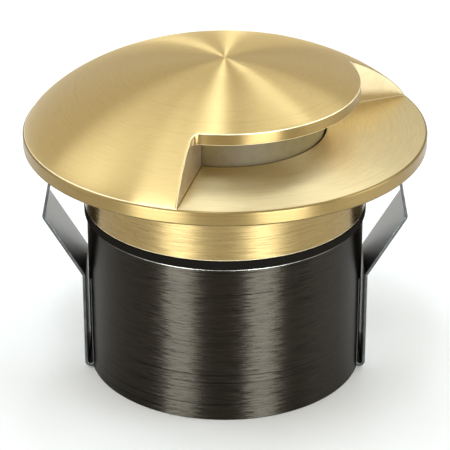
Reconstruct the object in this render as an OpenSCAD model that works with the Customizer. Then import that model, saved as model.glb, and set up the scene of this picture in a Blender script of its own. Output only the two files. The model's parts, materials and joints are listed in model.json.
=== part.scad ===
// Recessed deck light with a one-sided light opening, a screw-on brass head and two spring clips.
// Millimetres. +Z is up, the origin is the centre of the tube's lower edge, -Y is the front.
// Angles round the axis are counted from the front towards +X.

/* [Face] */
// Outer diameter of the brass rim
face_d = 60; // [59:0.5:62]
// Height of the rim's upright edge
rim_h = 2.2; // [2:0.1:2.6]
// Bevel on the rim's upper edge
rim_bevel = 0.3; // [0.1:0.05:0.4]
// Height of the dome above the rim
dome_h = 10.75; // [10.5:0.25:12]
// Fullness of the dome's crown
dome_crown = 2.3; // [2.2:0.05:2.5]
// Fullness of the dome's shoulder
dome_shoulder = 0.765; // [0.72:0.005:0.8]

/* [Light opening] */
// Angle of the left wall of the opening
cut_start = -12.9; // [-15:0.1:-10]
// Angle of the right wall of the opening
cut_end = 112.4; // [105:0.1:115]
// Diameter of the brow over the opening
brow_d = 40; // [37:0.5:43]
// Clear height under the brow
brow_gap = 5.65; // [5:0.05:6.2]
// Radius of the corner between a wall and the brow
corner_r = 1.2; // [0.8:0.1:1.6]

/* [Tube] */
// Outer diameter of the tube
tube_d = 41.7; // [38:0.1:45]
// Height of the tube
tube_h = 25; // [23:0.5:28]
// Wall round the lower chamber
chamber_wall = 3.45; // [3.2:0.05:3.7]
// Step from the chamber out to the base plate's bore
base_step = 1; // [0.9:0.05:1.1]
// Thickness of the shelf that carries the light engine
shelf_t = 3; // [2.6:0.1:3.4]

/* [Collar and gasket] */
// Step from the tube out to the collar
collar_step = 0.3; // [0.2:0.05:0.5]
// Wall of the collar round the neck
collar_wall = 1.57; // [1.4:0.01:1.8]
// Height of the collar
collar_h = 9.8; // [8.8:0.1:11]
// Step from the collar out to the gasket
gasket_proud = 0.1; // [0:0.05:0.3]
// Height of the gasket
gasket_h = 1.5; // [1.3:0.1:1.7]
// Wall of the tube's neck
neck_wall = 2.7; // [2.4:0.05:2.9]
// Running clearance between neck and collar on the radius
neck_fit = 0.08; // [0.05:0.01:0.1]

/* [Clips] */
// Thickness of the spring steel
clip_t = 0.45; // [0.4:0.05:0.5]
// Width of the spring strip
clip_w = 10; // [9:0.5:11]
// Depth of the clip's inner face below the tube's surface
clip_depth = 0.97; // [0.9:0.01:1.05]
// Outer width of the hairpin
hairpin_w = 1.67; // [1.55:0.01:1.85]
// Height of the knee where the arm leaves the hairpin
knee_z = 15.9; // [14:0.1:17.5]
// Lean of the arm away from the tube
arm_lean = 30.6; // [27:0.1:33]
// Length of the leaning run
arm_run = 11; // [10:0.1:12]
// Radius of the elbow's centre line
elbow_r = 0.8; // [0.6:0.1:1]
// Lean of the tip back towards the rim
tip_lean = 10.8; // [8:0.1:12]
// Length of the tip run
tip_run = 6.6; // [5.5:0.1:7.2]

/* [Lens] */
// Width of the flange that holds the lens
flange_w = 1.5; // [1.3:0.1:1.7]
// Wall of the lens
lens_wall = 1.5; // [1.3:0.1:1.7]
// Gap between the lens and its hole in the cover
lens_gap = 0.3; // [0.2:0.05:0.4]

/* [Light engine] */
// Gap between the lens wall and the post inside it
post_gap = 2.3; // [2:0.1:2.6]
// Gap between the light sources and the deflector's tip
led_room = 1.1; // [0.8:0.1:1.4]
// Side of one light source
led_w = 3; // [2.6:0.1:3.4]
// Height of the deflector
deflector_h = 3.2; // [2.8:0.1:3.6]

/* [Cord inlet] */
// Diameter of the cord bore
cord_d = 3.5; // [3.1:0.1:3.9]
// Diameter of the gland's stem
gland_d = 7; // [6.4:0.1:7.8]

/* [Hidden] */
$fn = 180;
eps = 0.01;

// Radii, from the tube's surface out to the gasket and in to the neck and the chamber
face_r = face_d / 2;
dome_r = face_r - rim_bevel;
brow_r = brow_d / 2;
tube_r = tube_d / 2;
collar_r = tube_r + collar_step;
gasket_r = collar_r + gasket_proud;
collar_bore_r = collar_r - collar_wall;
neck_r = collar_bore_r - neck_fit;
neck_bore_r = neck_r - neck_wall;
chamber_r = tube_r - chamber_wall;
base_bore_r = chamber_r + base_step;
clip_seat = tube_r - clip_depth;

// Heights of the stack above the tube
gasket_play = 0.05;
collar_z = tube_h + gasket_h;
rim_z = collar_z + collar_h;
floor_z = rim_z + rim_h;
rebate_h = 0.3;
rebate_fit = 0.05;
seat_z = rim_z + rebate_h;
brow_z = floor_z + brow_gap;
dome_steps = 28;

// Screws: shaft, head and drive
screw_r = 1;
screw_head_r = 1.9;
pan_h = 1.4;
drive_r = 0.75;
drive_h = 0.7;
drive_wall = 0.2;

// Head screws, whose heads lie over the neck's end, opposite the opening
head_screw_r = 0.7;
head_screw_head_r = 1.4;
head_screw_cap = 0.6;
head_screw_spread = 65;
head_screw_ring_r = neck_r - head_screw_head_r;
head_screw_top = floor_z - head_screw_cap;
opening_back = (cut_start + cut_end) / 2 + 180;
head_screw_angles = [for (i = [-1 : 1]) opening_back + i * head_screw_spread];

// Lens stack inside the collar, from the rebate in the cover's underside down
head_land = 0.1;
flange_play = 0.3;
flange_h = 1.2;
seal_play = 0.2;
seal_h = 0.5;
ring_h = 1.5;
ring_reach = 0.8;
ring_slot_w = 1.6;
ring_slot_h = 0.8;
lens_rise = 0.75;
lens_room = 0.1;
ring_r = head_screw_ring_r - head_screw_head_r - head_land;
flange_r = ring_r - flange_play;
seal_r = ring_r - seal_play;
lens_r = flange_r - flange_w;
lens_inner_r = lens_r - lens_wall;
lens_bore_r = lens_r + lens_gap;
ring_inner_r = lens_r - ring_reach;
lens_foot_z = seat_z - seal_h - flange_h;
lens_top_z = brow_z + lens_rise;
ring_z = lens_foot_z - ring_h;

// Deflector under the lens's top
deflector_tip_r = 1.2;
deflector_gap = 0.9;
deflector_top_z = lens_top_z - lens_wall;
deflector_z = deflector_top_z - deflector_h;

// Neck and its thread
neck_end_gap = 0.5;
thread_start = 1;
thread_end = 0.5;
thread_pitch = 1.5;
thread_depth = 0.45;
neck_top = ring_z - neck_end_gap;
thread_z = tube_h + thread_start;
thread_turns = floor((neck_top - thread_end - thread_z) / thread_pitch);
thread_top = thread_z + thread_turns * thread_pitch;

// Light board and light sources
board_h = 1.2;
board_step = 0.2;
led_h = 0.9;
led_ring_r = 4.6;
led_angles = [45, 135, 225, 315];
board_screw_r = 0.8;
board_screw_head_r = 1.5;
board_screw_head_h = 1.1;
board_screw_length = 4;
board_screw_inset = 2.2;
board_screw_angles = [90, 270];

// Post that carries the light board, on the shelf
shelf_drop = 1;
shelf_top = tube_h - shelf_drop;
shelf_z = shelf_top - shelf_t;
foot_play = 0.4;
post_foot_h = 2.5;
pilot_floor = 0.4;
post_r = lens_inner_r - post_gap;
post_top = deflector_z - led_room - led_h - board_h;
post_foot_r = neck_bore_r - foot_play;
post_screw_ring_r = (post_r + post_foot_r) / 2;
post_screw_angles = [0, 120, 240];
pilot_depth = shelf_t - pilot_floor;
board_r = post_r - board_step;
board_screw_ring_r = board_r - board_screw_inset;

// Base plate, its lugs and its seal
plate_z = 3.5;
plate_h = 2;
plate_fit = 0.1;
plate_top = plate_z + plate_h;
lug_r = 2.2;
lug_h = 5;
lug_sink = 0.2;
lug_roof = 1;
lug_ring_r = chamber_r - lug_r + lug_sink;
lug_pilot_h = lug_h - lug_roof;
lug_angles = [30, 150, 270];
base_seal_h = 0.9;
base_seal_depth = 0.8;
base_seal_z = plate_z + (plate_h - base_seal_h) / 2;

// Driver board, hung under the shelf on standoffs
driver_h = 1.2;
driver_gap = 0.2;
standoff_h = 4;
standoff_r = 2;
standoff_inset = 2.5;
standoff_pilot_h = 2;
screw_end_gap = 0.2;
driver_r = lug_ring_r - lug_r - driver_gap;
driver_top = shelf_z - standoff_h;
driver_low = driver_top - driver_h;
standoff_ring_r = driver_r - standoff_inset;
standoff_angles = [60, 180, 300];
driver_screw_length = driver_h + standoff_h + standoff_pilot_h - screw_end_gap;

// What hangs under the driver board: centres and sizes
chip_at = [-3, -7];
chip_size = [4, 5, 1.6];
bridge_at = [3, -7];
bridge_size = [4, 4, 2];
capacitor_at = [7.5, 2.5];
capacitor_r = 3;
capacitor_h = 5;
inductor_at = [-8, 1.5];
inductor_r = 3;
inductor_h = 3.5;
terminal_at = [0, 3];
terminal_size = [8, 5, 4];

// Leads and the hole that they rise through
lead_r = 0.6;
lead_x = 1.2;
lead_hole_r = 2.6;
lead_inset = 5.5;
lead_y = standoff_ring_r - lead_inset;

// Gland in the base plate
cord_r = cord_d / 2;
gland_r = gland_d / 2;
gland_head_h = 2.3;
gland_head_rim = 2.3;
gland_rise = 3;
nut_h = 2;
nut_rim = 1.7;
grommet_wall = 0.95;
grommet_h = 3;
gland_z = plate_z - gland_head_h;
gland_top = plate_top + gland_rise;
grommet_r = cord_r + grommet_wall;

// Hairpin feet of the clips and their slots
hairpin_lift = 0.15;
hairpin_room = 0.35;
knee_play = 0.05;
slot_fit = 0.06;
slot_side_fit = 0.1;
slot_drop = 0.7;
hairpin_r = hairpin_w / 2;
hairpin_x = clip_seat + hairpin_r;
hairpin_z = hairpin_r + hairpin_lift;
knee_x = clip_seat + hairpin_w - clip_t / 2;
knee_gap = clip_t / 2 + knee_play;
slot_w = clip_w + 2 * slot_side_fit;
slot_top = knee_z - slot_drop;
slot_foot_top = hairpin_z + hairpin_room;

brass = "#c9a85c";
dark_metal = "#33312e";
steel = "#8f8f8a";
black_rubber = "#1b1b1b";
white_plastic = "#f0efe8";
frosted = "#c8c3ad";
bare_metal = "#b9bcc0";

// Point at a radius and an angle counted from the front towards +X
function at(r, angle) = [r * sin(angle), -r * cos(angle)];

// Height of the dome above the floor at a radius
function dome_z(r) = dome_h * pow(1 - pow(min(r / dome_r, 1), dome_crown), dome_shoulder);

module around(r, angle) {
  translate(concat(at(r, angle), 0)) children();
}

// Solid ring with a square section
module ring(inner, outer, low, high) {
  rotate_extrude()
    translate([inner, low])
      square([outer - inner, high - low]);
}

// Pan-head screw: the head stands on z = 0 and the shaft hangs below it
module pan_screw(shaft_r, head_r, head_h, length) {
  difference() {
    union() {
      translate([0, 0, -length]) cylinder(r = shaft_r, h = length + eps);
      cylinder(r = head_r, h = head_h);
    }
    translate([0, 0, head_h - drive_h]) cylinder(r = drive_r, h = drive_h + eps, $fn = 6);
  }
}

// Flush screw: the head's flat face is at z = 0 and the shaft stands above it
module flush_screw(shaft_r, head_r, length) {
  difference() {
    union() {
      cylinder(r1 = head_r, r2 = shaft_r, h = head_r - shaft_r);
      cylinder(r = shaft_r, h = length);
    }
    translate([0, 0, -eps]) cylinder(r = min(drive_r, shaft_r - drive_wall), h = drive_h, $fn = 6);
  }
}

// Hole that a flush screw fills
module flush_hole(shaft_r, head_r, length) {
  translate([0, 0, -eps]) cylinder(r = shaft_r, h = length + eps);
  cylinder(r1 = head_r, r2 = shaft_r, h = head_r - shaft_r);
}

// Flat outline of the whole opening, well past the rim
module cut_sector() {
  reach = 2 * face_r;
  steps = 4;
  turn = (cut_end - cut_start) / steps;
  polygon(concat([[0, 0]], [for (i = [0 : steps]) at(reach, cut_start + i * turn)]));
}

// Rounded corner left standing between a wall at an angle and the brow; side is 1 or -1
module corner_fill(angle, side) {
  out = at(1, angle);
  across = side * [cos(angle), sin(angle)];
  centre = out * sqrt(pow(brow_r + corner_r, 2) - pow(corner_r, 2)) + across * corner_r;
  inner = brow_r - corner_r;
  past_wall = 1;
  difference() {
    polygon([out * inner - across * past_wall, centre - across * (corner_r + past_wall), centre,
      centre * inner / norm(centre)]);
    translate(centre) circle(r = corner_r);
  }
}

module cover() {
  rebate_r = collar_r + rebate_fit;
  profile = concat(
    [[0, seat_z], [rebate_r, seat_z], [rebate_r, rim_z], [face_r, rim_z], [face_r, floor_z - rim_bevel]],
    [for (i = [dome_steps : -1 : 0]) let (r = dome_r * sin(90 * i / dome_steps)) [r, floor_z + dome_z(r)]]);
  color(brass)
    difference() {
      rotate_extrude() polygon(profile);
      translate([0, 0, floor_z + brow_gap / 2])
        linear_extrude(height = dome_h)
          difference() {
            cut_sector();
            circle(r = brow_r);
            corner_fill(cut_start, 1);
            corner_fill(cut_end, -1);
          }
      translate([0, 0, floor_z])
        linear_extrude(height = brow_gap)
          cut_sector();
      translate([0, 0, seat_z - eps])
        cylinder(r = lens_bore_r, h = lens_top_z + lens_room - seat_z + eps);
      for (angle = head_screw_angles)
        around(head_screw_ring_r, angle)
          translate([0, 0, seat_z - eps]) cylinder(r = head_screw_r, h = head_screw_top - seat_z + eps);
    }
}

module collar() {
  color(brass)
    difference() {
      rotate_extrude()
        polygon([[collar_bore_r, collar_z], [collar_r, collar_z], [collar_r, seat_z],
          [ring_r, seat_z], [ring_r, ring_z], [collar_bore_r, ring_z]]);
      for (angle = head_screw_angles)
        around(head_screw_ring_r, angle)
          translate([0, 0, ring_z]) flush_hole(head_screw_r, head_screw_head_r, seat_z - ring_z + eps);
    }
}

module collar_screw(angle) {
  color(bare_metal)
    around(head_screw_ring_r, angle)
      translate([0, 0, ring_z]) flush_screw(head_screw_r, head_screw_head_r, head_screw_top - ring_z);
}

module lens() {
  color(frosted)
    rotate_extrude()
      polygon([[lens_inner_r, lens_foot_z], [flange_r, lens_foot_z], [flange_r, lens_foot_z + flange_h],
        [lens_r, lens_foot_z + flange_h], [lens_r, lens_top_z], [0, lens_top_z],
        [0, deflector_top_z], [lens_inner_r, deflector_top_z]]);
}

module lens_seal() {
  color(black_rubber) ring(lens_bore_r, seal_r, seat_z - seal_h, seat_z);
}

module lens_ring() {
  color(bare_metal)
    difference() {
      ring(ring_inner_r, ring_r, ring_z, lens_foot_z);
      for (turn = [0, 90])
        rotate(turn)
          translate([-ring_r, -ring_slot_w / 2, ring_z - eps])
            cube([2 * ring_r, ring_slot_w, ring_slot_h + eps]);
    }
}

module deflector() {
  color(white_plastic)
    translate([0, 0, deflector_z])
      cylinder(r1 = deflector_tip_r, r2 = lens_inner_r - deflector_gap, h = deflector_h);
}

module gasket() {
  color(black_rubber)
    ring(collar_bore_r, gasket_r, tube_h + gasket_play, collar_z - gasket_play);
}

// Slot that takes a clip's foot, with room for the hairpin at the bottom
module clip_slot() {
  translate([clip_seat, -slot_w / 2, -eps]) cube([clip_t + slot_fit, slot_w, slot_top + eps]);
  translate([clip_seat, -slot_w / 2, -eps]) cube([tube_r, slot_w, slot_foot_top + eps]);
}

module tube() {
  thread = [for (i = [0 : thread_turns - 1], step = [0 : 1])
    [neck_r - step * thread_depth, thread_z + (i + step / 2) * thread_pitch]];
  color(dark_metal)
    difference() {
      union() {
        rotate_extrude()
          polygon(concat(
            [[base_bore_r, 0], [tube_r, 0], [tube_r, tube_h], [neck_r, tube_h]], thread,
            [[neck_r, thread_top], [neck_r, neck_top], [neck_bore_r, neck_top],
              [neck_bore_r, shelf_top], [0, shelf_top],
              [0, shelf_z], [chamber_r, shelf_z], [chamber_r, plate_top], [base_bore_r, plate_top]]));
        for (angle = lug_angles)
          around(lug_ring_r, angle)
            translate([0, 0, plate_top]) cylinder(r = lug_r, h = lug_h);
      }
      for (side = [0, 180])
        rotate(side) clip_slot();
      translate([0, lead_y, shelf_z - eps]) cylinder(r = lead_hole_r, h = shelf_t + 2 * eps);
      for (angle = lug_angles)
        around(lug_ring_r, angle)
          translate([0, 0, plate_top - eps]) cylinder(r = screw_r, h = lug_pilot_h + eps);
      for (angle = post_screw_angles)
        around(post_screw_ring_r, angle)
          translate([0, 0, shelf_top - pilot_depth]) cylinder(r = screw_r, h = pilot_depth + eps);
      for (angle = standoff_angles)
        around(standoff_ring_r, angle)
          translate([0, 0, shelf_z - eps]) cylinder(r = screw_r, h = standoff_pilot_h + eps);
    }
}

module heat_post() {
  color(bare_metal)
    difference() {
      union() {
        translate([0, 0, shelf_top]) cylinder(r = post_foot_r, h = post_foot_h);
        translate([0, 0, shelf_top]) cylinder(r = post_r, h = post_top - shelf_top);
      }
      translate([0, lead_y, shelf_top - eps])
        cylinder(r = lead_hole_r, h = post_top - shelf_top + 2 * eps);
      for (angle = post_screw_angles)
        around(post_screw_ring_r, angle)
          translate([0, 0, shelf_top - eps]) cylinder(r = screw_r, h = post_foot_h + 2 * eps);
      for (angle = board_screw_angles)
        around(board_screw_ring_r, angle)
          translate([0, 0, post_top + board_h - board_screw_length])
            cylinder(r = board_screw_r, h = board_screw_length);
    }
}

module post_screw(angle) {
  color(steel)
    around(post_screw_ring_r, angle)
      translate([0, 0, shelf_top + post_foot_h])
        pan_screw(screw_r, screw_head_r, pan_h, post_foot_h + pilot_depth);
}

module led_board() {
  color(white_plastic)
    difference() {
      translate([0, 0, post_top]) cylinder(r = board_r, h = board_h);
      for (angle = board_screw_angles)
        around(board_screw_ring_r, angle)
          translate([0, 0, post_top - eps]) cylinder(r = board_screw_r, h = board_h + 2 * eps);
    }
}

module led(angle) {
  color("gold")
    around(led_ring_r, angle)
      translate([-led_w / 2, -led_w / 2, post_top + board_h]) cube([led_w, led_w, led_h]);
}

module board_screw(angle) {
  color(steel)
    around(board_screw_ring_r, angle)
      translate([0, 0, post_top + board_h])
        pan_screw(board_screw_r, board_screw_head_r, board_screw_head_h, board_screw_length);
}

// Lead that runs straight up through the shelf and the post; side is 1 or -1
module lead(side) {
  translate([side * lead_x, lead_y, driver_top]) cylinder(r = lead_r, h = post_top - driver_top);
}

module lead_red() {
  color("red") lead(-1);
}

module lead_black() {
  color("black") lead(1);
}

module driver_board() {
  color("darkgreen")
    difference() {
      translate([0, 0, driver_low]) cylinder(r = driver_r, h = driver_h);
      for (angle = standoff_angles)
        around(standoff_ring_r, angle)
          translate([0, 0, driver_low - eps]) cylinder(r = screw_r, h = driver_h + 2 * eps);
    }
}

// Box that hangs under the driver board, centred on a point
module hanging_box(centre, size) {
  translate([centre.x - size.x / 2, centre.y - size.y / 2, driver_low - size.z]) cube(size);
}

// Can that hangs under the driver board, centred on a point
module hanging_can(centre, r, height) {
  translate([centre.x, centre.y, driver_low - height]) cylinder(r = r, h = height);
}

module driver_chip() {
  color("#202020") hanging_box(chip_at, chip_size);
}

module bridge() {
  color("#202020") hanging_box(bridge_at, bridge_size);
}

module capacitor() {
  color("#2a2a50") hanging_can(capacitor_at, capacitor_r, capacitor_h);
}

module inductor() {
  color("#303030") hanging_can(inductor_at, inductor_r, inductor_h);
}

module terminal() {
  color("forestgreen") hanging_box(terminal_at, terminal_size);
}

module standoff(angle) {
  color("goldenrod")
    around(standoff_ring_r, angle)
      difference() {
        translate([0, 0, driver_top]) cylinder(r = standoff_r, h = standoff_h, $fn = 6);
        translate([0, 0, driver_top - eps]) cylinder(r = screw_r, h = standoff_h + 2 * eps);
      }
}

module driver_screw(angle) {
  color(steel)
    around(standoff_ring_r, angle)
      translate([0, 0, driver_low])
        mirror([0, 0, 1]) pan_screw(screw_r, screw_head_r, pan_h, driver_screw_length);
}

module base_plate() {
  plate_r = base_bore_r - plate_fit;
  groove_r = base_bore_r - base_seal_depth;
  groove_top = base_seal_z + base_seal_h;
  color(dark_metal)
    difference() {
      rotate_extrude()
        polygon([[gland_r, plate_z], [plate_r, plate_z], [plate_r, base_seal_z], [groove_r, base_seal_z],
          [groove_r, groove_top], [plate_r, groove_top], [plate_r, plate_top], [gland_r, plate_top]]);
      for (angle = lug_angles)
        around(lug_ring_r, angle)
          translate([0, 0, plate_z]) flush_hole(screw_r, screw_head_r, plate_h + eps);
    }
}

module base_seal() {
  color(black_rubber)
    ring(base_bore_r - base_seal_depth, base_bore_r, base_seal_z, base_seal_z + base_seal_h);
}

module base_screw(angle) {
  color(steel)
    around(lug_ring_r, angle)
      translate([0, 0, plate_z]) flush_screw(screw_r, screw_head_r, plate_h + lug_pilot_h);
}

module gland() {
  color(black_rubber)
    difference() {
      union() {
        translate([0, 0, gland_z]) cylinder(r = gland_r + gland_head_rim, h = gland_head_h, $fn = 6);
        translate([0, 0, gland_z]) cylinder(r = gland_r, h = gland_top - gland_z);
      }
      translate([0, 0, gland_z - eps]) cylinder(r = grommet_r, h = grommet_h + eps);
      translate([0, 0, gland_z]) cylinder(r = cord_r, h = gland_top - gland_z + eps);
    }
}

module gland_seal() {
  color(black_rubber) ring(cord_r, grommet_r, gland_z, gland_z + grommet_h);
}

module gland_nut() {
  color(bare_metal)
    difference() {
      translate([0, 0, plate_top]) cylinder(r = gland_r + nut_rim, h = nut_h, $fn = 6);
      translate([0, 0, plate_top - eps]) cylinder(r = gland_r, h = nut_h + 2 * eps);
    }
}

// Stands a flat outline up in the XZ plane as a strip of the clip's width; side is 1 or -1
module strip(side) {
  mirror([(1 - side) / 2, 0, 0])
    rotate([90, 0, 0])
      linear_extrude(height = clip_w, center = true)
        children();
}

module clip_base(side) {
  color(steel)
    strip(side) {
      translate([clip_seat, hairpin_z]) square([clip_t, slot_top - hairpin_z]);
      translate([clip_seat + hairpin_w - clip_t, hairpin_z]) square([clip_t, knee_z - hairpin_z]);
      translate([knee_x, knee_z]) circle(d = clip_t);
      difference() {
        translate([hairpin_x, hairpin_z]) circle(r = hairpin_r);
        translate([hairpin_x, hairpin_z]) circle(r = hairpin_r - clip_t);
        translate([clip_seat - eps, hairpin_z]) square([hairpin_w + 2 * eps, hairpin_r + eps]);
      }
    }
}

// Flat strip bent to a centre-line radius, from the +X direction round by an angle
module bent_strip(radius, turn) {
  reach = 2 * radius;
  intersection() {
    difference() {
      circle(r = radius + clip_t / 2);
      circle(r = radius - clip_t / 2);
    }
    polygon([[0, 0], [reach, 0], [reach, reach * tan(turn)]]);
  }
}

module clip_arm(side) {
  turn = arm_lean + tip_lean;
  color(steel)
    strip(side)
      translate([knee_x, knee_z])
        rotate(-arm_lean) {
          translate([-clip_t / 2, knee_gap]) square([clip_t, arm_run - knee_gap]);
          translate([-elbow_r, arm_run]) {
            bent_strip(elbow_r, turn);
            rotate(turn)
              translate([elbow_r - clip_t / 2, 0]) square([clip_t, tip_run]);
          }
        }
}

cover();
collar();
collar_screw(head_screw_angles[0]);  // collar_screw_1
collar_screw(head_screw_angles[1]);  // collar_screw_2
collar_screw(head_screw_angles[2]);  // collar_screw_3
lens();
lens_seal();
lens_ring();
deflector();
gasket();
tube();
heat_post();
post_screw(post_screw_angles[0]);  // post_screw_1
post_screw(post_screw_angles[1]);  // post_screw_2
post_screw(post_screw_angles[2]);  // post_screw_3
led_board();
led(led_angles[0]);  // led_1
led(led_angles[1]);  // led_2
led(led_angles[2]);  // led_3
led(led_angles[3]);  // led_4
board_screw(board_screw_angles[0]);  // board_screw_1
board_screw(board_screw_angles[1]);  // board_screw_2
lead_red();
lead_black();
driver_board();
driver_chip();
bridge();
capacitor();
inductor();
terminal();
standoff(standoff_angles[0]);  // standoff_1
standoff(standoff_angles[1]);  // standoff_2
standoff(standoff_angles[2]);  // standoff_3
driver_screw(standoff_angles[0]);  // driver_screw_1
driver_screw(standoff_angles[1]);  // driver_screw_2
driver_screw(standoff_angles[2]);  // driver_screw_3
base_plate();
base_seal();
base_screw(lug_angles[0]);  // base_screw_1
base_screw(lug_angles[1]);  // base_screw_2
base_screw(lug_angles[2]);  // base_screw_3
gland();
gland_seal();
gland_nut();
clip_base(-1);  // clip_left_base
clip_arm(-1);  // clip_left_arm
clip_base(1);  // clip_right_base
clip_arm(1);  // clip_right_arm
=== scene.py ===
import json
import math

import bpy
from mathutils import Matrix, Vector

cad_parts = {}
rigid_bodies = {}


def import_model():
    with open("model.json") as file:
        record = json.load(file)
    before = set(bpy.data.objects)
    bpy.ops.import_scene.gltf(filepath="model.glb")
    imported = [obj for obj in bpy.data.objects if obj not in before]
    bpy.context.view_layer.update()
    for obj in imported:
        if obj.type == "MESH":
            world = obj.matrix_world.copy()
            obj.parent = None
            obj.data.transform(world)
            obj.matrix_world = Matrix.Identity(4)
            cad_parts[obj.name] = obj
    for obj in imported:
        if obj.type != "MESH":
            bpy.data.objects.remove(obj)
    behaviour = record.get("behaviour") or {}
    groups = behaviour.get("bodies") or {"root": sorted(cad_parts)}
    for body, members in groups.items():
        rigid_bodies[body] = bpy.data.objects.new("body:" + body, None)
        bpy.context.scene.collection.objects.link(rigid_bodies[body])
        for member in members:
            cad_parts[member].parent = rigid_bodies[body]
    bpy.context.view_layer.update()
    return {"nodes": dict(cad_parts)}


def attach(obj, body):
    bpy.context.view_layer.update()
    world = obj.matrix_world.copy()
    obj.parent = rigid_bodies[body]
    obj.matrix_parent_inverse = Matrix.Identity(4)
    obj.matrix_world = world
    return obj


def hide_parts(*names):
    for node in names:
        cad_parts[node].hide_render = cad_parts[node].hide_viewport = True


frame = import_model()
nodes = frame["nodes"]
print("frame loaded:", len(nodes), "nodes")


# drawing and finishing

def at(radius, degrees, height):
    # a point round the lathe axis, counted from the front towards +X
    turn = math.radians(degrees)
    return Vector((radius * math.sin(turn), -radius * math.cos(turn), height))


def deselect():
    if bpy.context.mode != "OBJECT":
        bpy.ops.object.mode_set(mode="OBJECT")
    bpy.ops.object.select_all(action="DESELECT")


def drawLine(name, points, seedSize=0.001):
    # a small plane merged to one vertex, then extruded from point to point
    deselect()
    bpy.ops.mesh.primitive_plane_add(size=seedSize, location=points[0])
    piece = bpy.context.object
    piece.name = piece.data.name = name
    bpy.ops.object.transform_apply(location=True, rotation=True, scale=True)
    bpy.ops.object.mode_set(mode="EDIT")
    bpy.ops.mesh.select_mode(type="VERT")
    bpy.ops.mesh.select_all(action="SELECT")
    bpy.ops.mesh.merge(type="CENTER")
    for here, there in zip(points, points[1:]):
        bpy.ops.mesh.extrude_vertices_move(TRANSFORM_OT_translate={"value": there - here})
    return piece


def tidyMesh(distance=2e-6):
    bpy.ops.mesh.select_all(action="SELECT")
    bpy.ops.mesh.remove_doubles(threshold=distance)
    bpy.ops.mesh.normals_make_consistent(inside=False)


def lathe(name, profile, steps, start=0):
    # profile is (radius, height); it is drawn at one angle and spun all the way round
    piece = drawLine(name, [at(radius, start, height) for radius, height in profile])
    bpy.ops.mesh.select_all(action="SELECT")
    bpy.ops.mesh.spin(steps=steps, angle=2 * math.pi, center=(0, 0, 0), axis=(0, 0, 1))
    tidyMesh()
    bpy.ops.object.mode_set(mode="OBJECT")
    return piece


def prism(name, points, pull):
    # a flat outline filled and pulled out
    piece = drawLine(name, points)
    bpy.ops.mesh.select_all(action="SELECT")
    bpy.ops.mesh.edge_face_add()
    bpy.ops.mesh.extrude_region_move(TRANSFORM_OT_translate={"value": pull})
    tidyMesh()
    bpy.ops.object.mode_set(mode="OBJECT")
    return piece


def applyModifier(piece, kind, **settings):
    deselect()
    piece.select_set(True)
    bpy.context.view_layer.objects.active = piece
    bpy.ops.object.modifier_add(type=kind)
    modifier = piece.modifiers[-1]
    for setting, value in settings.items():
        setattr(modifier, setting, value)
    bpy.ops.object.modifier_apply(modifier=modifier.name)


def upright(name, outline, low, high):
    return prism(name, [Vector((x, y, low)) for x, y in outline], (0, 0, high - low))


def cutAway(piece, cutter):
    applyModifier(piece, "BOOLEAN", operation="DIFFERENCE", solver="EXACT", object=cutter)
    bpy.data.objects.remove(cutter)


def joinFlats(piece, flats, likeness=0.99999, gap=5e-6):
    # two cuts left their flat walls side by side, a hair apart
    deselect()
    piece.select_set(True)
    bpy.context.view_layer.objects.active = piece
    for face in piece.data.polygons:
        face.select = any(abs(face.normal.dot(flat)) > likeness for flat in flats)
    bpy.ops.object.mode_set(mode="EDIT")
    bpy.ops.mesh.select_mode(type="FACE")
    bpy.ops.mesh.remove_doubles(threshold=gap)
    bpy.ops.object.mode_set(mode="OBJECT")


def soften(piece, width, segments=2, limit=30, smooth=38, edgeSlot=-1, flatSlot=-1):
    # small rounds on the sharp edges, then smooth shading that keeps the flats flat
    if width:
        applyModifier(piece, "BEVEL", width=width, segments=segments, limit_method="ANGLE",
                      angle_limit=math.radians(limit), use_clamp_overlap=False, material=edgeSlot)
    bpy.ops.object.shade_smooth_by_angle(angle=math.radians(smooth))
    for face in piece.data.polygons:
        if face.material_index == flatSlot:
            for corner in face.loop_indices:
                piece.data.edges[piece.data.loops[corner].edge_index].use_edge_sharp = True
    applyModifier(piece, "WEIGHTED_NORMAL", keep_sharp=True)


def addFinishes(piece, *names):
    for name in names:
        piece.data.materials.append(finishes[name])


def fit(piece, body, slotName, *stoodFor):
    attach(piece, body)
    if stoodFor:
        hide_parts(*stoodFor)
    return piece


# the brass head

cover = {
    "faceRadius": 0.030, "rimBevel": 0.0003, "rimFoot": 0.0363, "rimFootBevel": 0.0002, "floor": 0.0385,
    "domeHeight": 0.01075, "domeCrown": 2.3, "domeShoulder": 0.765, "domeRings": 44,
    "seat": 0.0366, "rebateRadius": 0.0212, "lensBore": 0.0151, "lensRoomTop": 0.0450,
    "cutStart": -12.9, "cutEnd": 112.4, "browRadius": 0.020, "browFoot": 0.04400,
    "cornerRadius": 0.0012, "steps": 236, "edge": 0.0001,
    # how far the two cutters go out and up, and where the upper one starts above the floor
    "reach": 0.048, "upperStart": 0.003, "upperEnd": 0.02, "wedgeSteps": 6,
    # shares of the dome's radius: where its steep foot starts, where its paler edge, a painted highlight, starts, how
    # far the painted shade in creases goes
    "steepFrom": 0.97, "brightFrom": 0.9985, "creaseTo": 0.99,
    # how upright a face's normal is: below wallTilt it is a wall, above flatTilt a flat, above creaseTilt no painted
    # crease shade
    "wallTilt": 0.5, "flatTilt": 0.999, "creaseTilt": 0.95,
    # how squarely the rim's wall faces outwards, how near the floor still is the floor, edge widths that are near
    "rimFacing": 0.6, "floorGap": 0.00001, "nearEdge": 1.5,
}


def domeHeightAt(radius):
    share = min(radius / (cover["faceRadius"] - cover["rimBevel"]), 1)
    return cover["floor"] + cover["domeHeight"] * (1 - share ** cover["domeCrown"]) ** cover["domeShoulder"]


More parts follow.
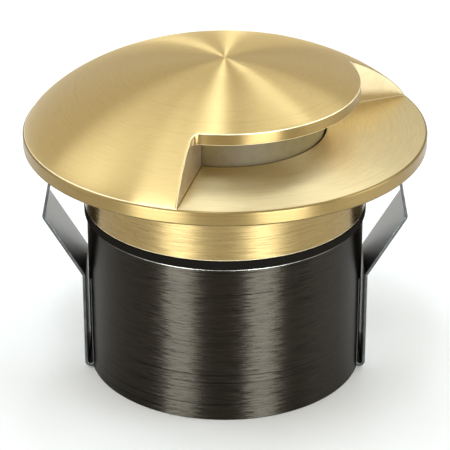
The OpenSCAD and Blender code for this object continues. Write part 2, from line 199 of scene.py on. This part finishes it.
def wedgeOutline():
    # the whole opening, seen from above
    steps = cover["wedgeSteps"]
    turn = (cover["cutEnd"] - cover["cutStart"]) / steps
    outline = [Vector((0, 0, 0))]
    outline += [at(cover["reach"], cover["cutStart"] + i * turn, 0) for i in range(steps + 1)]
    return [(point.x, point.y) for point in outline]


def browOutline(arcSteps=96, cornerSteps=7):
    # outside the brow: along the wall, round the corner, along the brow and back the same way
    reach, brow, corner = cover["reach"], cover["browRadius"], cover["cornerRadius"]
    lean = math.degrees(math.asin(corner / (brow + corner)))
    outline = []
    for wall, side in ((cover["cutStart"], 1), (cover["cutEnd"], -1)):
        centre = at(brow + corner, wall + side * lean, 0)
        along = at(1, wall, 0)
        across = Vector((-along.y, along.x, 0)) * side
        half = [at(reach, wall, 0)]
        for i in range(cornerSteps + 1):
            turn = math.radians((90 - lean) * i / cornerSteps)
            half.append(centre - across * corner * math.cos(turn) - along * corner * math.sin(turn))
        outline.append(half)
    first, last = outline
    opening, steps = cover["cutStart"] - cover["cutEnd"], cover["wedgeSteps"]
    turn = (-opening - 2 * lean) / arcSteps
    arc = [at(brow, cover["cutStart"] + lean + i * turn, 0) for i in range(1, arcSteps)]
    far = [at(reach, cover["cutEnd"] + opening * i / steps, 0) for i in range(1, steps)]
    points = first + arc + last[::-1] + far
    return [(point.x, point.y) for point in points]


def finishCover(piece):
    # a finish for each way the metal was worked: the walls flat and milled, all else turned; the darker and paler
    # copies of the brass among them are painted shade and painted light
    addFinishes(piece, "brass", "turned_brass", "milled_brass", "edge_brass", "crease_brass", "floor_brass",
                "rim_brass")
    milled, bright, crease, turnedFloor, rim = 2, 3, 4, 5, 6
    dome = cover["faceRadius"] - cover["rimBevel"]
    for face in piece.data.polygons:
        outward = Vector((face.center.x, face.center.y, 0))
        onDome = outward.length > dome * cover["steepFrom"] and face.center.z > cover["floor"]
        # upright faces turned outwards, on the rim and the brow, take a darker copy of the brass: painted shade
        if abs(face.normal.z) < cover["wallTilt"] and not onDome:
            facing = abs(face.normal.dot(outward.normalized()))
            face.material_index = rim if facing > cover["rimFacing"] else milled
        # the cut floor takes a paler copy of the brass: painted light
        elif face.normal.z > cover["flatTilt"] and abs(face.center.z - cover["floor"]) < cover["floorGap"]:
            face.material_index = turnedFloor
        # past the dome's edge all takes the darker rim brass: painted shade
        if outward.length > dome:
            face.material_index = rim
        # the dome's last upward faces take a paler brass: a painted highlight
        elif (outward.length > dome * cover["brightFrom"] and face.normal.z > 0
              and face.material_index != turnedFloor):
            face.material_index = bright
    # the small rounds on the edges take the paler brass as well: a painted highlight
    soften(piece, cover["edge"], edgeSlot=bright, flatSlot=milled)
    # painted shade in the creases: darker where wall and lens meet the floor, over the far wall and along the rim's
    # foot
    near = cover["edge"] * cover["nearEdge"]
    footTop = cover["rimFoot"] + cover["rimFootBevel"] * cover["nearEdge"]
    farWall, alongFar = at(1, cover["cutEnd"] + 90, 0), at(1, cover["cutEnd"], 0)
    for face in piece.data.polygons:
        if face.material_index != bright:
            continue
        onFar = abs(face.center.dot(farWall)) < near and face.center.dot(alongFar) > 0
        inCrease = (abs(face.center.z - cover["floor"]) < cover["edge"]
                    and abs(face.normal.z) < cover["creaseTilt"]
                    and math.hypot(face.center.x, face.center.y) < dome * cover["creaseTo"])
        if inCrease and onFar:
            face.material_index = milled
        elif inCrease or onFar or face.center.z < footTop:
            face.material_index = crease


def makeCover(bevelSteps=4):
    dome, rings, bevel = cover["faceRadius"] - cover["rimBevel"], cover["domeRings"], cover["rimBevel"]
    radii = [dome * math.sin(math.pi / 2 * i / rings) for i in range(rings + 1)]
    profile = [(radius, domeHeightAt(radius)) for radius in radii]
    for i in range(1, bevelSteps + 1):
        turn = math.pi / 2 * i / bevelSteps
        profile.append((dome + bevel * math.sin(turn), cover["floor"] - bevel * (1 - math.cos(turn))))
    profile += [(cover["faceRadius"], cover["rimFoot"] + cover["rimFootBevel"]),
                (cover["faceRadius"] - cover["rimFootBevel"], cover["rimFoot"]),
                (cover["rebateRadius"], cover["rimFoot"]),
                (cover["rebateRadius"], cover["seat"]), (cover["lensBore"], cover["seat"]),
                (cover["lensBore"], cover["lensRoomTop"]), (0, cover["lensRoomTop"])]
    halfStep = 180 / cover["steps"]
    piece = lathe("brassCover", profile, cover["steps"], cover["cutStart"] + halfStep)
    floor = cover["floor"]
    cutAway(piece, upright("upperCut", browOutline(), floor + cover["upperStart"], floor + cover["upperEnd"]))
    cutAway(piece, upright("lowerCut", wedgeOutline(), floor, cover["browFoot"]))
    joinFlats(piece, [at(1, cover["cutStart"] + 90, 0), at(1, cover["cutEnd"] + 90, 0)])
    finishCover(piece)
    return fit(piece, "head", "brass", "cover")


collar = {"bore": 0.01958, "outer": 0.02115, "foot": 0.0265, "top": 0.0366,
          "landRadius": 0.0166, "landFoot": 0.0334, "edge": 0.00015, "steps": 200}


def makeCollar():
    profile = [(collar["bore"], collar["foot"]), (collar["outer"], collar["foot"]),
               (collar["outer"], collar["top"]), (collar["landRadius"], collar["top"]),
               (collar["landRadius"], collar["landFoot"]), (collar["bore"], collar["landFoot"]),
               (collar["bore"], collar["foot"])]
    piece = lathe("brassCollar", profile, collar["steps"])
    # the collar takes a darker copy of the brass, painted shade, and its rounded edges a paler brass, a painted
    # highlight
    addFinishes(piece, "turned_brass", "edge_brass")
    soften(piece, collar["edge"], segments=3, edgeSlot=1)
    return fit(piece, "head", "brass", "collar")


gasket = {"inner": 0.01958, "outer": 0.02125, "foot": 0.02505, "top": 0.02645, "edge": 0.0003,
          "steps": 180}


def makeGasket():
    profile = [(gasket["inner"], gasket["foot"]), (gasket["outer"], gasket["foot"]),
               (gasket["outer"], gasket["top"]), (gasket["inner"], gasket["top"]),
               (gasket["inner"], gasket["foot"])]
    piece = lathe("rubberGasket", profile, gasket["steps"])
    soften(piece, gasket["edge"], segments=4)
    return fit(piece, "gasket", "black_rubber", "gasket")


# the tube that stays in the deck

tube = {"outer": 0.02085, "top": 0.025, "neck": 0.0195, "neckTop": 0.0329, "neckBore": 0.0168,
        "shelfTop": 0.024, "shelfFoot": 0.021, "chamber": 0.0174, "plateTop": 0.0055, "baseBore": 0.0184,
        "slotInner": 0.01988, "slotOuter": 0.02039, "slotHalf": 0.0051, "slotTop": 0.0152,
        "slotFootTop": 0.001335, "slotFar": 0.03, "slotStart": -0.001, "edge": 0.00018, "steps": 200}
# rootShare is half the ridge's root over the pitch, sink how deep the ridge stands in the neck, start in degrees
thread = {"low": 0.026, "pitch": 0.0015, "turns": 4, "depth": 0.00045, "steps": 72, "rootShare": 0.42,
          "sink": 0.0001, "start": 90}


def makeTube():
    root = tube["neck"] - thread["depth"]
    profile = [(tube["baseBore"], 0), (tube["outer"], 0), (tube["outer"], tube["top"]),
               (root, tube["top"]), (root, tube["neckTop"]), (tube["neckBore"], tube["neckTop"]),
               (tube["neckBore"], tube["shelfTop"]), (0, tube["shelfTop"]), (0, tube["shelfFoot"]),
               (tube["chamber"], tube["shelfFoot"]), (tube["chamber"], tube["plateTop"]),
               (tube["baseBore"], tube["plateTop"]), (tube["baseBore"], 0)]
    piece = lathe("tubeBody", profile, tube["steps"])
    half = tube["slotHalf"]
    for side in (-1, 1):
        # the clip's slot with the room for its foot, seen from the front
        inner, outer, far = side * tube["slotInner"], side * tube["slotOuter"], side * tube["slotFar"]
        start, footTop, top = tube["slotStart"], tube["slotFootTop"], tube["slotTop"]
        slot = [(inner, start), (far, start), (far, footTop), (outer, footTop), (outer, top), (inner, top)]
        cutAway(piece, prism("clipSlot", [Vector((x, -half, z)) for x, z in slot], (0, 2 * half, 0)))
    # the tube's rounded edges take a paler metal, a painted highlight, kept only at the mouth
    addFinishes(piece, "dark_aluminium", "worn_edge")
    soften(piece, tube["edge"], segments=3, edgeSlot=1)
    for face in piece.data.polygons:
        if face.center.z < tube["shelfTop"]:
            face.material_index = 0  # only the mouth's edge keeps the paler metal, a painted highlight
    return fit(piece, "housing", "dark_aluminium", "tube")


def makeThread():
    # one ridge wound round the neck
    root = tube["neck"] - thread["depth"]
    half = thread["pitch"] * thread["rootShare"]
    inside = root - thread["sink"]
    steps = thread["steps"] * thread["turns"]
    ridge = [(inside, thread["low"] - half), (root, thread["low"] - half), (tube["neck"], thread["low"]),
             (root, thread["low"] + half), (inside, thread["low"] + half), (inside, thread["low"] - half)]
    piece = drawLine("neckThread", [at(radius, thread["start"], height) for radius, height in ridge])
    tidyMesh()
    bpy.ops.mesh.edge_face_add()
    bpy.ops.object.mode_set(mode="OBJECT")
    applyModifier(piece, "SCREW", angle=2 * math.pi * thread["turns"], steps=steps, render_steps=steps,
                  screw_offset=thread["pitch"] * thread["turns"], axis="Z", use_normal_calculate=True)
    bpy.ops.object.mode_set(mode="EDIT")
    tidyMesh()
    bpy.ops.mesh.fill_holes(sides=len(ridge))
    tidyMesh()
    bpy.ops.object.mode_set(mode="OBJECT")
    soften(piece, 0)
    return fit(piece, "housing", "dark_aluminium")


# the two spring clips

clip = {"thickness": 0.00045, "width": 0.010, "seat": 0.01988, "hairpin": 0.00167, "hairpinFoot": 0.000985,
        "legTop": 0.0152, "knee": 0.0159, "armLean": 30.6, "armRun": 0.011, "elbowRadius": 0.0008,
        "tipLean": 10.8, "tipRun": 0.0066, "edge": 0.00009, "hairpinSteps": 18, "elbowSteps": 10,
        "sideFacing": 0.95}


def makeStrip(name, points, side):
    # the centre line is drawn, pulled across to its width and thickened
    points = [Vector((side * x, -clip["width"] / 2, z)) for x, z in points]
    piece = drawLine(name, points)
    bpy.ops.mesh.select_all(action="SELECT")
    bpy.ops.mesh.extrude_region_move(TRANSFORM_OT_translate={"value": (0, clip["width"], 0)})
    tidyMesh()
    bpy.ops.object.mode_set(mode="OBJECT")
    applyModifier(piece, "SOLIDIFY", thickness=clip["thickness"], offset=0, use_even_offset=True)
    addFinishes(piece, "spring_steel", "cut_steel")
    soften(piece, clip["edge"], segments=3, limit=50, smooth=40)
    for face in piece.data.polygons:
        if abs(face.normal.y) > clip["sideFacing"]:
            face.material_index = 1  # the strip's sheared sides are duller
    return piece


def makeClipBase(side, label):
    inner = clip["seat"] + clip["thickness"] / 2
    outer = clip["seat"] + clip["hairpin"] - clip["thickness"] / 2
    middle, radius, bend = (inner + outer) / 2, (outer - inner) / 2, clip["hairpinSteps"]
    points = [(inner, clip["legTop"])]
    for i in range(bend + 1):
        turn = math.pi * i / bend
        points.append((middle - radius * math.cos(turn), clip["hairpinFoot"] - radius * math.sin(turn)))
    points.append((outer, clip["knee"]))
    piece = makeStrip("clip%sFoot" % label, points, side)
    return fit(piece, "housing", "spring_steel", "clip_%s_base" % label.lower())


def makeClipArm(side, label):
    knee = Vector((clip["seat"] + clip["hairpin"] - clip["thickness"] / 2, clip["knee"]))
    lean, tip = math.radians(clip["armLean"]), math.radians(clip["tipLean"])
    up = Vector((math.sin(lean), math.cos(lean)))
    left = Vector((-up.y, up.x))
    elbow, radius, bend = knee + up * clip["armRun"], clip["elbowRadius"], clip["elbowSteps"]
    centre = elbow + left * radius
    points = [knee, elbow]
    for i in range(1, bend + 1):
        turn = (lean + tip) * i / bend
        points.append(centre - left * radius * math.cos(turn) + up * radius * math.sin(turn))
    end = Vector((-math.sin(tip), math.cos(tip)))
    points.append(points[-1] + end * clip["tipRun"])
    piece = makeStrip("clip%sArm" % label, [tuple(point) for point in points], side)
    return fit(piece, "clip_%s" % label.lower(), "spring_steel", "clip_%s_arm" % label.lower())


# finishes

def vectorNode(tree, operation, first, second=None, scale=None):
    node = tree.nodes.new("ShaderNodeVectorMath")
    node.operation = operation
    tree.links.new(first, node.inputs[0])
    if second is not None:
        tree.links.new(second, node.inputs[1])
    if isinstance(scale, (int, float)):
        node.inputs["Scale"].default_value = scale
    elif scale is not None:
        tree.links.new(scale, node.inputs["Scale"])
    return node.outputs["Value" if operation == "LENGTH" else "Vector"]


def newGroup(name, inputs, outputs):
    group = bpy.data.node_groups.new(name, "ShaderNodeTree")
    for label, kind, value in inputs:
        socket = group.interface.new_socket(name=label, in_out="INPUT", socket_type=kind)
        if value is not None:
            socket.default_value = value
    for label, kind in outputs:
        group.interface.new_socket(name=label, in_out="OUTPUT", socket_type=kind)
    return group, group.nodes.new("NodeGroupInput"), group.nodes.new("NodeGroupOutput")


def mathNode(tree, operation, first, second=None):
    node = tree.nodes.new("ShaderNodeMath")
    node.operation = operation
    for socket, value in zip(node.inputs, (first, second)):
        if value is None:
            continue
        if isinstance(value, (int, float)):
            socket.default_value = value
        else:
            tree.links.new(value, socket)
    return node.outputs[0]


def latheCoordinates(tree, fine, arc):
    # a place on turned stock: slow round the axis, quick across the tool marks
    place = tree.nodes.new("ShaderNodeTexCoord")
    parts = tree.nodes.new("ShaderNodeSeparateXYZ")
    tree.links.new(place.outputs["Object"], parts.inputs[0])
    flat = tree.nodes.new("ShaderNodeCombineXYZ")
    tree.links.new(parts.outputs["X"], flat.inputs["X"])
    tree.links.new(parts.outputs["Y"], flat.inputs["Y"])
    length = vectorNode(tree, "LENGTH", flat.outputs[0])
    unit = vectorNode(tree, "NORMALIZE", flat.outputs[0])
    turned = vectorNode(tree, "SCALE", unit, scale=arc)
    step = tree.nodes.new("ShaderNodeCombineXYZ")
    across = mathNode(tree, "SUBTRACT", length, parts.outputs["Z"])
    tree.links.new(mathNode(tree, "MULTIPLY", across, fine), step.inputs["Z"])
    return vectorNode(tree, "ADD", turned, step.outputs[0])


def noiseNode(tree, place, scale=1.0, detail=2.0, roughness=0.5):
    noise = tree.nodes.new("ShaderNodeTexNoise")
    noise.inputs["Scale"].default_value = scale
    noise.inputs["Detail"].default_value = detail
    noise.inputs["Roughness"].default_value = roughness
    tree.links.new(place, noise.inputs["Vector"])
    return noise.outputs[0]


turning = {
    # against a finish's own fineness and arc: the soft grain's, and the long lines' arc
    "grainFine": 0.7, "grainArc": 0.6, "lineArc": 0.3, "grainDetail": 3.0, "lineDetail": 1.0,
    # the part of the noise that shows as a dash or as a line
    "dashFrom": 0.60, "dashTo": 0.70, "lineFrom": 0.66, "lineTo": 0.72,
    # depth of the marks in metres, direction of the brush in turns
    "depth": 0.00002, "brushTurn": 0.25,
}
speckle = {"depth": 0.00003, "detail": 4.0}


def makeLatheGrain():
    # what a lathe and a brush leave: a soft grain, short dashes and a few long lines
    group, given, put = newGroup("latheGrain", [
        ("Fine", "NodeSocketFloat", 5200.0), ("Arc", "NodeSocketFloat", 12.0), ("Lines", "NodeSocketFloat", 2000.0)],
        [("Grain", "NodeSocketFloat"), ("Dashes", "NodeSocketFloat"), ("Lines", "NodeSocketFloat")])
    fine, arc = given.outputs["Fine"], given.outputs["Arc"]
    grain = noiseNode(group, latheCoordinates(group, mathNode(group, "MULTIPLY", fine, turning["grainFine"]),
                                              mathNode(group, "MULTIPLY", arc, turning["grainArc"])),
                      detail=turning["grainDetail"])
    dashes = noiseNode(group, latheCoordinates(group, fine, arc))
    lines = noiseNode(group, latheCoordinates(group, given.outputs["Lines"], turning["lineArc"]),
                      detail=turning["lineDetail"])
    group.links.new(grain, put.inputs["Grain"])
    group.links.new(ranged(group, dashes, 0, 1, turning["dashFrom"], turning["dashTo"]), put.inputs["Dashes"])
    group.links.new(ranged(group, lines, 0, 1, turning["lineFrom"], turning["lineTo"]), put.inputs["Lines"])
    return group


def ranged(tree, value, low, high, fromLow=0.3, fromHigh=0.7):
    node = tree.nodes.new("ShaderNodeMapRange")
    node.inputs["From Min"].default_value = fromLow
    node.inputs["From Max"].default_value = fromHigh
    node.inputs["To Min"].default_value = low
    node.inputs["To Max"].default_value = high
    tree.links.new(value, node.inputs["Value"])
    return node.outputs["Result"]


def blendColours(tree, factor, first, second):
    node = tree.nodes.new("ShaderNodeMix")
    node.data_type = "RGBA"
    node.inputs["A"].default_value = (*first, 1)
    node.inputs["B"].default_value = (*second, 1)
    tree.links.new(factor, node.inputs["Factor"])
    return node.outputs["Result"]


def bumped(tree, height, strength, distance):
    node = tree.nodes.new("ShaderNodeBump")
    node.inputs["Strength"].default_value = strength
    node.inputs["Distance"].default_value = distance
    tree.links.new(height, node.inputs["Height"])
    return node.outputs["Normal"]


def newFinish(name):
    material = bpy.data.materials.new(name)
    material.use_nodes = True
    shader = next(node for node in material.node_tree.nodes if node.type == "BSDF_PRINCIPLED")
    return material, material.node_tree, shader


latheGrain = makeLatheGrain()


def turnedMetal(name, colour, roughness, anisotropy, contrast=0.12, dashes=0.15, lines=0.1, bump=0.15, wobble=0.08,
                fine=5200.0, arc=12.0, lineStep=2000.0):
    # metal brushed round the lathe axis
    material, tree, shader = newFinish(name)
    grain = tree.nodes.new("ShaderNodeGroup")
    grain.node_tree = latheGrain
    grain.inputs["Fine"].default_value = fine
    grain.inputs["Arc"].default_value = arc
    grain.inputs["Lines"].default_value = lineStep
    dark = [channel * (1 - contrast) for channel in colour]
    light = [channel * (1 + contrast) for channel in colour]
    tone = blendColours(tree, ranged(tree, grain.outputs["Grain"], 0, 1), dark, light)
    shade = mathNode(tree, "MULTIPLY", ranged(tree, grain.outputs["Dashes"], 1, 1 - dashes, 0, 1),
                     ranged(tree, grain.outputs["Lines"], 1, 1 - lines, 0, 1))
    tree.links.new(vectorNode(tree, "SCALE", tone, scale=shade), shader.inputs["Base Color"])
    low, high = roughness
    tree.links.new(ranged(tree, grain.outputs["Grain"], low, high), shader.inputs["Roughness"])
    marks = mathNode(tree, "SUBTRACT", grain.outputs["Grain"], grain.outputs["Lines"])
    tree.links.new(bumped(tree, marks, bump, turning["depth"]), shader.inputs["Normal"])
    shader.inputs["Metallic"].default_value = 1.0
    shader.inputs["Anisotropic"].default_value = anisotropy
    shader.inputs["Anisotropic Rotation"].default_value = turning["brushTurn"]
    # the brush strokes wander a little from the true circle
    tangent = tree.nodes.new("ShaderNodeTangent")
    tangent.direction_type = "RADIAL"
    tangent.axis = "Z"
    surface = tree.nodes.new("ShaderNodeNewGeometry")
    across = vectorNode(tree, "CROSS_PRODUCT", surface.outputs["Normal"], tangent.outputs[0])
    wander = ranged(tree, noiseNode(tree, latheCoordinates(tree, fine, arc)), -wobble, wobble)
    tree.links.new(vectorNode(tree, "ADD", tangent.outputs[0], vectorNode(tree, "SCALE", across, scale=wander)),
                   shader.inputs["Tangent"])
    return material


def plainFinish(name, dark, light, roughness, bump=0.15, grain=900.0, metallic=0.0, coat=0.0, specular=0.5):
    # moulded or sawn stock: a fine speckle in colour, gloss and surface
    material, tree, shader = newFinish(name)
    place = tree.nodes.new("ShaderNodeTexCoord")
    noise = tree.nodes.new("ShaderNodeTexNoise")
    noise.inputs["Scale"].default_value = grain
    noise.inputs["Detail"].default_value = speckle["detail"]
    tree.links.new(place.outputs["Object"], noise.inputs["Vector"])
    tree.links.new(blendColours(tree, ranged(tree, noise.outputs[0], 0, 1), dark, light), shader.inputs["Base Color"])
    low, high = roughness
    tree.links.new(ranged(tree, noise.outputs[0], low, high), shader.inputs["Roughness"])
    tree.links.new(bumped(tree, noise.outputs[0], bump, speckle["depth"]), shader.inputs["Normal"])
    shader.inputs["Metallic"].default_value = metallic
    shader.inputs["Coat Weight"].default_value = coat
    shader.inputs["Specular IOR Level"].default_value = specular
    return material


finishes = {
    "brass": turnedMetal("satinBrass", (0.65, 0.475, 0.210), (0.33, 0.37), 1.0, contrast=0.04, dashes=0.08,
                         lines=0.05, bump=0.03, wobble=0.03),
    # a darker copy of the brass for the collar: painted shade; its gloss and grain are its own
    "turned_brass": turnedMetal("turnedBrassPaintedShade", (0.29, 0.201, 0.082), (0.25, 0.31), 0.68, contrast=0.05, dashes=0.09,
                                lines=0.1, bump=0.04, wobble=0.065, fine=7000.0, arc=9.0),
    # a darker copy of the brass for the rim and the brow's upright edge: painted shade; its gloss and grain are its
    # own
    "rim_brass": turnedMetal("rimBrassPaintedShade", (0.30, 0.205, 0.080), (0.30, 0.36), 0.85, contrast=0.05, dashes=0.09,
                             lines=0.1, bump=0.04, wobble=0.065, fine=7000.0, arc=9.0),
    # a paler copy of the brass for the cut floor: painted light; its gloss and grain are its own
    "floor_brass": turnedMetal("floorBrassPaintedLight", (0.77, 0.635, 0.375), (0.40, 0.44), 0.85, contrast=0.05, dashes=0.08,
                               lines=0.08, bump=0.03, wobble=0.03),
    "milled_brass": plainFinish("milledBrass", (0.56, 0.445, 0.265), (0.62, 0.49, 0.30), (0.40, 0.46), metallic=1.0),
    # a paler brass on the rounded edges: a painted highlight
    "edge_brass": plainFinish("edgePaintedHighlight", (0.84, 0.71, 0.47), (0.94, 0.81, 0.57), (0.36, 0.46), metallic=1.0),
    # a dark brass in the creases: painted shade
    "crease_brass": plainFinish("creasePaintedShade", (0.15, 0.11, 0.04), (0.21, 0.155, 0.06), (0.5, 0.6), metallic=1.0),
    "dark_aluminium": turnedMetal("darkTube", (0.025, 0.0205, 0.0152), (0.36, 0.42), 0.95, contrast=0.2, dashes=0.5,
                                  lines=0.5, bump=0.2, wobble=0.17, fine=7000.0, arc=9.0),
    # a paler metal on the tube mouth's rounded edge: a painted highlight
    "worn_edge": plainFinish("tubeEdgePaintedHighlight", (0.11, 0.10, 0.085), (0.18, 0.168, 0.145), (0.3, 0.4), metallic=1.0),
    "bare_aluminium": turnedMetal("turnedAluminium", (0.56, 0.57, 0.585), (0.28, 0.38), 0.6),
    "screw_steel": turnedMetal("screwSteel", (0.46, 0.46, 0.455), (0.25, 0.35), 0.3),
    "yellow_brass": turnedMetal("standoffBrass", (0.63, 0.46, 0.185), (0.25, 0.35), 0.3),
    "spring_steel": plainFinish("springSteel", (0.235, 0.226, 0.212), (0.27, 0.26, 0.244), (0.28, 0.34), bump=0.05,
                                metallic=1.0),
    "cut_steel": plainFinish("cutSteel", (0.035, 0.034, 0.032), (0.06, 0.058, 0.055), (0.45, 0.55), metallic=1.0),
    # the lens is painted darker and yellower than frosted glass: painted shade from the brow and a painted reflection
    # of the brass round it
    "frosted": plainFinish("frostedLensPaintedShade", (0.22, 0.168, 0.068), (0.255, 0.196, 0.080), (0.5, 0.6), bump=0.1,
                           specular=0.25),
    "silicone": plainFinish("siliconeSeal", (0.45, 0.45, 0.43), (0.52, 0.52, 0.50), (0.5, 0.6)),
    "black_rubber": plainFinish("blackRubber", (0.006, 0.0045, 0.003), (0.010, 0.0075, 0.005), (0.7, 0.85),
                                specular=0.03),
    "white_plastic": plainFinish("whitePlastic", (0.78, 0.78, 0.75), (0.84, 0.84, 0.82), (0.4, 0.5)),
    "white_board": plainFinish("whiteBoard", (0.76, 0.76, 0.74), (0.83, 0.83, 0.81), (0.25, 0.35)),
    "green_board": plainFinish("greenBoard", (0.01, 0.06, 0.02), (0.02, 0.10, 0.035), (0.25, 0.35)),
    "black_plastic": plainFinish("blackPlastic", (0.012, 0.012, 0.012), (0.025, 0.025, 0.025), (0.4, 0.5)),
    "can_sleeve": plainFinish("canSleeve", (0.012, 0.014, 0.06), (0.02, 0.025, 0.09), (0.2, 0.3)),
    "ferrite": plainFinish("ferrite", (0.02, 0.019, 0.018), (0.04, 0.038, 0.036), (0.5, 0.6)),
    "green_plastic": plainFinish("greenPlastic", (0.02, 0.20, 0.04), (0.03, 0.27, 0.06), (0.35, 0.45)),
    "red_sleeve": plainFinish("redSleeve", (0.40, 0.015, 0.012), (0.52, 0.025, 0.02), (0.3, 0.4)),
    "black_sleeve": plainFinish("blackSleeve", (0.012, 0.012, 0.012), (0.022, 0.022, 0.022), (0.3, 0.4)),
    "led": plainFinish("ledPhosphor", (0.80, 0.62, 0.10), (0.88, 0.72, 0.16), (0.2, 0.3)),
}


def dress(node):
    # a CAD node keeps its shape and gets the finish of its slot
    for slot in node.material_slots:
        slot.material = finishes[slot.material.name.split(".")[0]]


# every piece and its finish

pieces = {
    "brass": [makeCover(), makeCollar()],
    "black_rubber": [makeGasket()],
    "dark_aluminium": [makeTube(), makeThread()],
    "spring_steel": [makeClipBase(-1, "Left"), makeClipBase(1, "Right"), makeClipArm(-1, "Left"),
                     makeClipArm(1, "Right")],
}
for slotName, made in pieces.items():
    for piece in made:
        if not piece.data.materials:
            addFinishes(piece, slotName)
for node in nodes.values():
    dress(node)
print("pieces made:", ", ".join(piece.name for made in pieces.values() for piece in made))


# stage, lights and camera

stage = {"floorSize": 4.0, "floorColour": (0.91, 0.905, 0.93), "floorRoughness": 0.9, "floorSpecular": 0.1,
         "worldColour": (1.0, 0.97, 0.84), "worldLevel": 0.75}
lights = {
    # place of the lamp, the direction of its second side, its sides in metres, its power in watts
    "leftCard": {"place": at(0.7, -35, 0.055), "along": (0, 0, 1), "size": (0.27, 0.095), "power": 14.0,
                 "gleamOn": "walls"},
    "rightCard": {"place": at(0.7, 29, 0.055), "along": (0, 0, 1), "size": (0.27, 0.095), "power": 14.4,
                  "gleamOn": "walls"},
    "leftRimCard": {"place": at(0.3, -34, 0.012), "along": (0, 0, 1), "size": (0.14, 0.02), "power": 0.78,
                    "gleamOn": "cover"},
    "rightRimCard": {"place": at(0.3, 29, 0.012), "along": (0, 0, 1), "size": (0.14, 0.02), "power": 0.78,
                     "gleamOn": "cover"},
    "overStrip": {"place": (-0.075, -0.20, 0.83), "along": (0.087, 0.996, 0), "size": (0.10, 0.40), "power": 0.60},
    "overBack": {"place": (-0.03, 0.42, 0.78), "along": (0.087, 0.996, 0), "size": (0.06, 0.30), "power": 0.26},
    "overLeft": {"place": (-0.15, -0.05, 0.84), "along": (0.087, 0.996, 0), "size": (0.08, 0.60), "power": 0.24},
    "sideStrip": {"place": (0.35, 0.40, 0.83), "along": (0.70, -0.71, 0), "size": (0.08, 0.30), "power": 0.34},
    "sideBack": {"place": (0.18, 0.56, 0.80), "along": (0.50, -0.86, 0), "size": (0.07, 0.20), "power": 0.30},
    "sideWide": {"place": (0.50, 0.57, 0.65), "along": (0.60, -0.80, 0), "size": (0.16, 0.30), "power": 0.22},
    "softTop": {"place": (0.12, 0.15, 0.86), "along": (0, 1, 0), "size": (0.45, 0.45), "power": 0.15},
    "leftFill": {"place": (-0.32, 0.12, 0.80), "along": (0, 1, 0), "size": (0.24, 0.40), "power": 0.42},
    "leftLow": {"place": (-0.64, 0.08, 0.55), "along": (0, 1, 0), "size": (0.50, 0.50), "power": 1.3},
    "rightLow": {"place": (0.80, -0.10, 0.25), "along": (0, 1, 0), "size": (0.30, 0.50), "power": 1.9},
}
lampColour = (0.80, 0.915, 1.0)
target = Vector((0, 0, 0.03))
view = {"place": (0, -0.2994, 0.1691), "tilt": 63.82, "sensor": 36, "lens": 175.74, "near": 0.01}


def makeStage():
    deselect()
    bpy.ops.mesh.primitive_plane_add(size=stage["floorSize"], location=(0, 0, 0))
    floor = bpy.context.object
    floor.name = "floor"
    material, tree, shader = newFinish("floorPaper")
    shader.inputs["Base Color"].default_value = (*stage["floorColour"], 1)
    shader.inputs["Roughness"].default_value = stage["floorRoughness"]
    shader.inputs["Specular IOR Level"].default_value = stage["floorSpecular"]
    floor.data.materials.append(material)
    world = bpy.data.worlds.new("studio")
    bpy.context.scene.world = world
    world.use_nodes = True
    background = world.node_tree.nodes["Background"]
    background.inputs["Color"].default_value = (*stage["worldColour"], 1)
    background.inputs["Strength"].default_value = stage["worldLevel"]


def makeLight(name, place, along, size, power, gleamOn=None):
    back = (Vector(place) - target).normalized()
    side = Vector(along).cross(back).normalized()
    up = back.cross(side)
    deselect()
    bpy.ops.object.light_add(type="AREA", location=place)
    lamp = bpy.context.object
    lamp.name = lamp.data.name = name
    lamp.rotation_euler = Matrix((side, up, back)).transposed().to_euler()
    lamp.data.shape = "RECTANGLE"
    lamp.data.size, lamp.data.size_y = size
    lamp.data.energy = power
    lamp.data.color = lampColour
    lamp.visible_camera = False
    if gleamOn:
        # a card that only shows as a gleam in the metal, flagged off the other pieces
        lamp.visible_diffuse = False
        reach = bpy.data.collections.new(name + "Reach")
        for piece in bpy.context.scene.objects:
            if piece.type == "MESH" and (piece.name == "brassCover") == (gleamOn == "cover"):
                reach.objects.link(piece)
        lamp.light_linking.receiver_collection = reach


def makeCamera():
    deselect()
    bpy.ops.object.camera_add(location=view["place"], rotation=(math.radians(view["tilt"]), 0, 0))
    camera = bpy.context.object
    camera.name = "camera"
    camera.data.sensor_width = view["sensor"]
    camera.data.lens = view["lens"]
    camera.data.clip_start = view["near"]
    bpy.context.scene.camera = camera


makeStage()
for name, settings in lights.items():
    makeLight(name, **settings)
makeCamera()
bpy.context.scene.view_settings.view_transform = "Standard"
print("stage, lights and camera ready")
